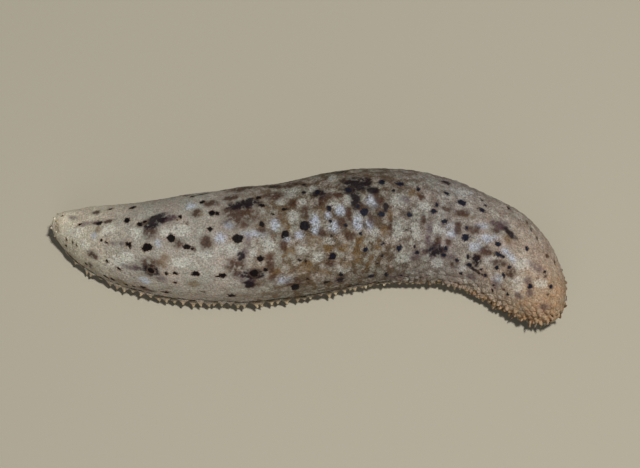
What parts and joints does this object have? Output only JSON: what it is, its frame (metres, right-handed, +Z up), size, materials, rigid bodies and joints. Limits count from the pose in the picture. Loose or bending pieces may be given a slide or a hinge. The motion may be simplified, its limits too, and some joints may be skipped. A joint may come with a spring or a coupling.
{
  "type": "sea cucumber",
  "caption": "Life-size still model of a spotted sea cucumber lying in a gentle S curve, with a fringe of pointed feet, papillae, tube feet and a ring of tentacles.",
  "frame": {"origin": "on the floor, under the middle of the animal's box", "axes": "+X from the tail (anal end) towards the head (oral end), the long way of the box; +Y towards the animal's left side; +Z up"},
  "size_m": [0.156, 0.05, 0.0282],
  "materials": {
    "trunk_skin": "damp leathery skin, pale grey-beige with brown clouds, pale blue patches and near-black spots",
    "head_skin": "damp leathery skin, beige turning orange-brown towards the end, with small dark spots",
    "tentacles": "soft damp flesh, pale yellow-brown"
  },
  "bodies": {
    "root": {"anal_end": "trunk_skin", "hind_trunk": "trunk_skin", "mid_trunk": "trunk_skin", "fore_trunk": "trunk_skin", "oral_end": "head_skin", "tentacle_crown": "tentacles"}
  },
  "joints": []
}
